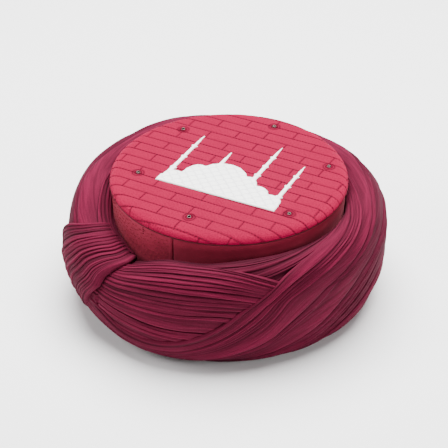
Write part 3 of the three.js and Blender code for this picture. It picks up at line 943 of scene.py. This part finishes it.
# Its underside from the rim inwards: radius and height
LID_UNDERSIDE = (
    (LID_RADIUS - 0.5, LID_BASE),
    (LID_RADIUS - LID_WALL, LID_BASE),
    (LID_RADIUS - LID_WALL - 3, LID_BASE + 2.2),
    (LID_RADIUS - LID_ROUNDING - 2, LID_TOP - LID_WALL),
    (30, LID_TOP - LID_WALL),
)

# The quilting's thread: its pitch, stitch length and width, how deep it lies, and how far
# it stops from the rim and the badge
QUILTING_SIZES = (2.6, 2.0, 0.55)
THREAD_SINK = 0.05
RIM_STOP = 1
BADGE_STOP = 0.8


def near(distance, width):
    """A share that falls from 1 on a line to 0 away from it."""
    return np.exp(-((distance / width) ** 2))


def grid_quads(first, columns):
    """The corners of a grid's cells, in turn from their first ones."""
    return np.stack([first, first + columns, first + columns + 1, first + 1], -1)


def add_lid():
    """The quilted top: a padded disc with a rounded edge, its bricks pressed in by stitches."""
    line = np.linspace(-1, 1, LID_GRID)
    a, b = np.meshgrid(line, line, indexing="ij")
    wide = np.abs(a) >= np.abs(b)
    reach = np.where(wide, a, b)
    slant = np.where(wide, b, a) / np.where(reach == 0, 1, reach) * math.pi / 4
    turn = np.where(wide, slant, math.pi / 2 - slant)
    place = (reach * EDGE_RUN[-1])[..., None] * np.stack([np.cos(turn), np.sin(turn)], -1)
    flat = place.reshape(-1, 2)
    away = line_distance(flat)
    run = np.linalg.norm(flat, axis=1)
    edge = np.clip((EDGE_RUN[-1] - run) / PUFF_FADE, 0, 1)
    puff = PUFF * np.clip(away / PUFF_REACH, 0, 1) ** 0.5 - GROOVE * near(away, GROOVE_WIDTH)
    top = on_lid(flat, puff * edge)
    sewn_rings = np.zeros(len(flat))
    for eyelet in eyelet_places():
        reach = np.linalg.norm(flat - eyelet, axis=1)
        for ring, *_ in RING_STITCHES:
            sewn_rings = np.maximum(sewn_rings, near(reach - ring, RING_WIDTH))
    # Painted light: the rim is painted lighter than the flat where the edge rounds over
    lip = np.clip((run - EDGE_RUN[0]) / (EDGE_RUN[-1] - EDGE_RUN[0]), 0, 1)
    tone_and_painted_shade = FLAT_PAINTED_LIGHT + (1 - FLAT_PAINTED_LIGHT) * eased(lip)
    dark = np.maximum(near(away, LINE_WIDTH), RING_SHADE * sewn_rings)
    shade = tone_and_painted_shade * (1 - LINE_SHADE * dark)

    index = np.arange(len(flat)).reshape(LID_GRID, LID_GRID)
    faces = grid_quads(index[:-1, :-1], LID_GRID).reshape(-1, 4).tolist()
    sides = index[:-1, 0], index[-1, :-1], index[:0:-1, -1], index[0, :0:-1]
    border = np.hstack(sides).tolist()
    way = flat[border] / run[border][:, None]
    points, ring = [top], border
    total, size = len(flat), len(border)
    for radius, height in LID_UNDERSIDE:
        points.append(np.hstack([AXIS + way * radius, np.full((size, 1), height)]))
        fresh = list(range(total, total + size))
        faces += [[ring[k], fresh[k], fresh[(k + 1) % size], ring[(k + 1) % size]] for k in range(size)]
        ring, total = fresh, total + size
    faces.append(ring)
    points = np.vstack(points)
    plan = np.vstack([flat, points[len(flat) :, :2] - AXIS])
    shade = np.hstack([shade, np.ones(len(points) - len(flat))])
    piece = closed_mesh("crown_top_quilted", points, faces, QUILTED_CLOTH, plan, shade)
    carry(piece, "lid_cloth", "crown_top")

    lines = []
    for line in brick_lines():
        spots = brick_place(line)
        _, distance, inside = nearest_on_badge(spots)
        on_cloth = np.linalg.norm(spots, axis=1) < EDGE_RUN[-1] - RIM_STOP
        clear = on_cloth & ~inside & (distance > BADGE_STOP)
        lines += kept_runs(on_lid(spots, -THREAD_SINK), clear)
    sew("crown_top_quilting_stitches", lines, CRIMSON_THREAD, "lid_cloth", *QUILTING_SIZES)


# The cap's side: its seam, with the degrees about it that have close stations, and the
# lap of cloth beside it
BAND_SEAM = 271.5
SEAM_REACH = 3.5
SEAM_STATIONS = 57
SEAM_DEPTH, SEAM_WIDTH = 0.7, 0.35
SEAM_SHADE = 0.6
LAP_PLACE, LAP_HEIGHT, LAP_WIDTH = -1.4, 0.3, 0.8
OUTER_ROWS = 60
INNER_ROWS = 20

# Its waves: height, rounds and wavelength up the side, and where they are held back
BAND_SWELL = (0.25, 7, 30)
BAND_RIPPLE = (0.15, 19, 17)
BAND_INSET = 0.3
BAND_MOST = 0.2


def add_band():
    """The cap's stiff side, closed top and bottom, with the seam where its cloth is joined."""
    near_seam = BAND_SEAM + np.linspace(-SEAM_REACH, SEAM_REACH, SEAM_STATIONS)
    even = np.arange(0, 360, 1.0)
    even = even[np.abs(even - BAND_SEAM) > SEAM_REACH]
    bearing = np.radians(np.sort(np.hstack([even, near_seam])))[:, None]
    up, down = np.linspace(0, CAP_HEIGHT, OUTER_ROWS), np.linspace(CAP_HEIGHT, 0, INNER_ROWS)
    height = np.hstack([up, down])[None, :] + 0 * bearing
    outside = np.arange(OUTER_ROWS + INNER_ROWS) < OUTER_ROWS
    swell, rounds, rise = BAND_SWELL
    wave = swell * np.sin(bearing * rounds) * np.sin(height / rise)
    ripple, rounds, rise = BAND_RIPPLE
    wave = wave + ripple * np.sin(bearing * rounds + height / rise)
    seam = np.degrees(bearing) - BAND_SEAM
    pressed = near(seam, SEAM_WIDTH)
    wave = wave - SEAM_DEPTH * pressed + LAP_HEIGHT * near(seam - LAP_PLACE, LAP_WIDTH)
    outer = CAP_RADIUS + np.minimum(wave - BAND_INSET, BAND_MOST)
    radius = np.where(outside, outer, CAP_RADIUS - CAP_WALL)
    cloth = np.stack([bearing * CAP_RADIUS + 0 * height, height], -1)
    shade = 1 - SEAM_SHADE * pressed + 0 * height
    points = round_line(AXIS, radius, bearing, height)
    piece = lofted("crown_band_felt", points, BAND_CLOTH, cloth, shade, ring=True)
    carry(piece, "cap_cloth", "crown_band")


# The badge: its grid, how far it stands up from the lid and sinks into it, and how its
# border rounds down
BADGE_MARGIN = 1
BADGE_GRID = 0.55
BADGE_SNAP = 0.36
BADGE_SINK = 0.25
BADGE_BASE = 0.25
BADGE_RISE = 0.95
BADGE_ROUNDING = 1.1

# Its stitching, in rows of overlapping arcs
SCALLOP_SPAN = 9
SCALLOP_RISE = 4.6
SCALLOP_RADIUS = 0.46 * SCALLOP_SPAN
SCALLOP_DEPTH, SCALLOP_WIDTH = 0.3, 0.4
SCALLOP_FADE = 2


def add_badge():
    """The embroidered badge: a satin-stitched pad whose border rounds down to the cloth."""
    low = BADGE_OUTLINE.min((0, 1)) - BADGE_MARGIN
    high = BADGE_OUTLINE.max((0, 1)) + BADGE_MARGIN
    across, up = (np.arange(low[k], high[k], BADGE_GRID) for k in (0, 1))
    spots = np.stack(np.meshgrid(across, up, indexing="ij"), -1).reshape(-1, 2)
    foot, distance, inside = nearest_on_badge(spots)
    cell = (inside | (distance < BADGE_SNAP * BADGE_GRID)).reshape(len(across), len(up))
    used = cell[:-1, :-1] & cell[1:, :-1] & cell[1:, 1:] & cell[:-1, 1:]
    i, j = np.nonzero(used)
    quads = grid_quads(i * len(up) + j, len(up))
    edges = np.vstack([quads[:, [k, (k + 1) % 4]] for k in range(4)]).tolist()
    known = set(map(tuple, edges))
    border = [edge for edge in edges if (edge[1], edge[0]) not in known]
    rim = np.unique(border)
    spots[rim] = foot[rim]
    distance[rim] = 0

    x, y = turned(spots - PATTERN_SHIFT, -PATTERN_TURN).T
    course = np.floor(y / SCALLOP_RISE)
    aside = (x / SCALLOP_SPAN + course / 2) % 1 - 0.5
    arc = np.hypot(aside * SCALLOP_SPAN, y - course * SCALLOP_RISE) - SCALLOP_RADIUS
    seam = near(arc, SCALLOP_WIDTH) * np.clip(distance / SCALLOP_FADE, 0, 1)
    inward = np.clip(distance / BADGE_ROUNDING, 0, 1)
    rise = BADGE_RISE * np.sqrt(np.clip(1 - (1 - inward) ** 2, 0, 1))
    height = LID_TOP + BADGE_BASE + rise - SCALLOP_DEPTH * seam

    kept = np.unique(quads)
    count = len(kept)
    index = np.full(len(spots), -1)
    index[kept] = np.arange(count)
    plan = spots[kept]
    upper = np.hstack([AXIS + plan, height[kept][:, None]])
    lower = np.hstack([AXIS + plan, np.full((count, 1), LID_TOP - BADGE_SINK)])
    top_faces = index[quads]
    sides = [[index[a], index[a] + count, index[b] + count, index[b]] for a, b in border]
    faces = top_faces.tolist() + (top_faces[:, ::-1] + count).tolist() + sides
    tone = np.hstack([1 - seam[kept], np.ones(count)])
    flat, points = np.vstack([plan, plan]), np.vstack([upper, lower])
    piece = closed_mesh("mosque_badge", points, faces, SATIN_THREAD, flat, tone)
    carry(piece, "badge_thread", "mosque_motif")


def eyelet_metal():
    """Pressed aluminium, tumbled: softly polished on its rim, finely scratched, with painted shade in
    its bore.
    """
    material, tree, shader = new_material("pressed_aluminium", {"Metallic": 1})
    tone_and_painted_shade = node(tree, "ShaderNodeAttribute", attribute_name="fold").outputs["Fac"]
    # Near black where the fold attribute is 0: painted shade down the bore
    tone = node(tree, MIX, {"Fac": tone_and_painted_shade, "Color1": "#140E0C", "Color2": "#6E605C"})
    place = node(tree, "ShaderNodeTexCoord").outputs["Object"]
    wear = node(tree, NOISE, {"Vector": place, "Scale": 1800, "Detail": 3})
    rough = node(tree, RANGE, {"Value": wear, "To Min": 0.25, "To Max": 0.5})
    connect(tree, shader, {"Base Color": tone, "Roughness": rough})
    return material


EYELET_METAL = eyelet_metal()


def add_eyelets():
    """Rolled metal rims through the lid, each inside two sewn rings; their closed bores are painted
    dark as shade.
    """
    around = np.linspace(0, 2 * math.pi, EYELET_SIDES, endpoint=False)[:, None]
    rim = math.pi - np.linspace(0, math.pi, EYELET_RIM_POINTS)
    middle, tube = (EYELET_BORE + EYELET_REACH) / 2, (EYELET_REACH - EYELET_BORE) / 2
    rolled = LID_TOP + EYELET_RIM_BASE + EYELET_RIM_RISE * np.sin(rim)
    shoulder, foot = LID_TOP + EYELET_SHOULDER, LID_TOP - LID_WALL - EYELET_FOOT
    wall = EYELET_BORE + EYELET_WALL
    section = [(EYELET_THROAT, foot), (EYELET_THROAT, shoulder), (EYELET_BORE, shoulder)]
    section += list(zip(middle + tube * np.cos(rim), rolled))
    section += [(wall, LID_TOP - EYELET_SEAT), (wall, foot)]
    radius, height = np.array(section).T
    # Painted shade: the bore's floor and inner lip take the dark end of the metal's colour
    painted_bore_shade = 0 * around + np.where(radius < EYELET_BORE + EYELET_SHADE_REACH, 0, 1)
    for number, place in enumerate(eyelet_places(), 1):
        points = round_line(AXIS + place, radius, around, height)
        name, plan = f"eyelet_rim_{number}", points[..., :2]
        piece = lofted(name, points, EYELET_METAL, plan, painted_bore_shade, ring=True)
        carry(piece, "eyelet_metal", f"eyelet_{number}")

    turn = np.linspace(0, 2 * math.pi, RING_POINTS)
    circle = np.stack([np.cos(turn), np.sin(turn)], -1)
    for name, (reach, *sizes) in zip(("inner", "outer"), RING_STITCHES):
        lines = [on_lid(place + reach * circle, RING_LIFT) for place in eyelet_places()]
        sew(f"eyelet_{name}_ring_stitches", lines, CRIMSON_THREAD, "lid_cloth", *sizes)


# The piping under the lid's edge: its grid, how far its middle lies in and down, its half
# width and height, and how the thread pulls it: waves by size and rounds, and their
# shares in width and height
PIPING_STEPS, PIPING_SIDES = 420, 10
PIPING_INSET, PIPING_DROP = 1.1, 0.7
PIPING_WIDTH, PIPING_HEIGHT = 1.2, 1.1
PULLS = ((0.12, 130), (0.15, 9))
PULL_WIDTH, PULL_HEIGHT = 0.3, 0.1

# The tacking stitches: bearings, spacing, most shift in degrees, start in from the edge,
# run, slant in radians, lift, and the thread's pitch, stitch length and width
TACK_BEARINGS = (238, 266)
TACK_SPACING = 2.4
TACK_SHIFT = 0.3
TACK_START = (0.8, 1.8)
TACK_RUN = 2.4
TACK_SLANT = 0.011
TACK_LIFT = 0.05
TACK_SIZES = (5, 2.4, 0.5)
TACK_SEED = 4


def add_lip():
    """The lid's piped edge, its near-black cloth partly painted shadow under the lid, and the small
    slanting stitches that tack it down in front.
    """
    bearing = np.linspace(0, 2 * math.pi, PIPING_STEPS, endpoint=False)[:, None]
    turn = np.linspace(0, 2 * math.pi, PIPING_SIDES, endpoint=False)[None, :]
    pull = sum(size * np.sin(bearing * rounds) for size, rounds in PULLS)
    radius = LID_RADIUS - PIPING_INSET + (PIPING_WIDTH + pull * PULL_WIDTH) * np.cos(turn)
    height = LID_BASE - PIPING_DROP + PIPING_HEIGHT * np.sin(turn) + PULL_HEIGHT * pull
    points = round_line(AXIS, radius, bearing, height)
    cloth = np.stack([bearing * LID_RADIUS + 0 * radius, turn + 0 * bearing], -1)
    # Its near-black cloth is partly painted shadow under the lid's edge
    lip = lofted("crown_top_piping", points, PIPING_CLOTH_AND_SHADOW, cloth, 1 + 0 * radius, ring=True)
    carry(lip, "lid_cloth")

    step = math.degrees(TACK_SPACING / LID_RADIUS)
    rng = np.random.default_rng(TACK_SEED)
    spread = np.array((0, 0.5, 1.0))
    tacks = []
    for turn in np.radians(np.arange(*TACK_BEARINGS, step) + rng.uniform(-TACK_SHIFT, TACK_SHIFT)):
        turns = turn + spread * TACK_SLANT
        way = np.stack([np.cos(turns), np.sin(turns)], -1)
        run = EDGE_RUN[-1] - rng.uniform(*TACK_START) - TACK_RUN * spread
        tacks.append(on_lid(way * run[:, None], TACK_LIFT))
    sew("crown_top_tacking_stitches", tacks, LID_THREAD, "lid_cloth", *TACK_SIZES)


# The small stitches on the cap's side: rows up it, bearings, stray in radians and up the
# side, their points' turns, and their thread
DOT_ROWS = (72, 97, 3.6)
DOT_BEARINGS = (200, 270, 2.7)
DOT_STRAY, DOT_DRIFT = 0.008, 0.8
DOT_TURNS = np.array((0, 0.006, 0.012))
DOT_LIFT = 0.05
DOT_SIZES = (3, 1.1, 0.5)
DOT_SEED = 9

# The mended slit beside the seam
MEND_BEARING = 254
MEND_HEIGHTS = (91, 98)
MEND_POINTS = 30
MEND_SIZES = (1.4, 1.2, 0.7)


def add_band_stitches():
    """Small seed stitches that hold the cap's lining, over the left part of the side."""
    rng = np.random.default_rng(DOT_SEED)
    dots = []
    for row, middle in enumerate(np.arange(*DOT_ROWS)):
        shift = DOT_BEARINGS[2] / 2 if row % 2 else 0
        for turn in np.radians(np.arange(*DOT_BEARINGS) + shift):
            turns = turn + rng.uniform(-DOT_STRAY, DOT_STRAY) + DOT_TURNS
            height = middle + rng.uniform(-DOT_DRIFT, DOT_DRIFT)
            dots.append(round_line(AXIS, CAP_RADIUS + DOT_LIFT, turns, height))
    sew("crown_band_seed_stitches", dots, BAND_THREAD, "cap_cloth", *DOT_SIZES)
    turn = np.full(MEND_POINTS, math.radians(MEND_BEARING))
    slit = round_line(AXIS, CAP_RADIUS, turn, np.linspace(*MEND_HEIGHTS, MEND_POINTS))
    sew("crown_band_mended_slit", [slit], CRIMSON_THREAD, "cap_cloth", *MEND_SIZES)


add_lid()
add_lip()
add_band()
add_band_stitches()
add_badge()
add_eyelets()

# The stage: a pale floor and soft light

FLOOR_REACH = 6
WORLD_STRENGTH = 0.12


def add_stage():
    corners = [(x * FLOOR_REACH, y * FLOOR_REACH, 0) for x, y in ((-1, -1), (1, -1), (1, 1), (-1, 1))]
    mesh = bpy.data.meshes.new("floor")
    mesh.from_pydata(corners, [], [(0, 1, 2, 3)])
    surface = {"Base Color": "#F4F4F4", "Roughness": 0.9}
    material, *_ = new_material("matt_white_board", surface)
    mesh.materials.append(material)
    placed("floor", mesh)


def add_light(name, bearing, elevation, distance, size, power):
    data = bpy.data.lights.new(name, "AREA")
    data.shape = "DISK"
    data.size = size
    data.energy = power
    light = placed(name, data)
    turn, rise = math.radians(bearing), math.radians(elevation)
    way = Vector((math.cos(turn) * math.cos(rise), math.sin(turn) * math.cos(rise), math.sin(rise)))
    light.location = way * distance
    light.rotation_euler = way.to_track_quat("Z", "Y").to_euler()


def add_world():
    world = bpy.data.worlds.new("studio")
    world.use_nodes = True
    sky = world.node_tree.nodes["Background"]
    connect(world.node_tree, sky, {0: "#FFFFFF", 1: WORLD_STRENGTH})
    bpy.context.scene.world = world


add_stage()
add_world()
add_light("key", bearing=105, elevation=76, distance=1.5, size=1.6, power=122)
add_light("fill_left", bearing=215, elevation=35, distance=1.5, size=0.8, power=14)
add_light("fill_right", bearing=352, elevation=25, distance=1.5, size=0.8, power=10)
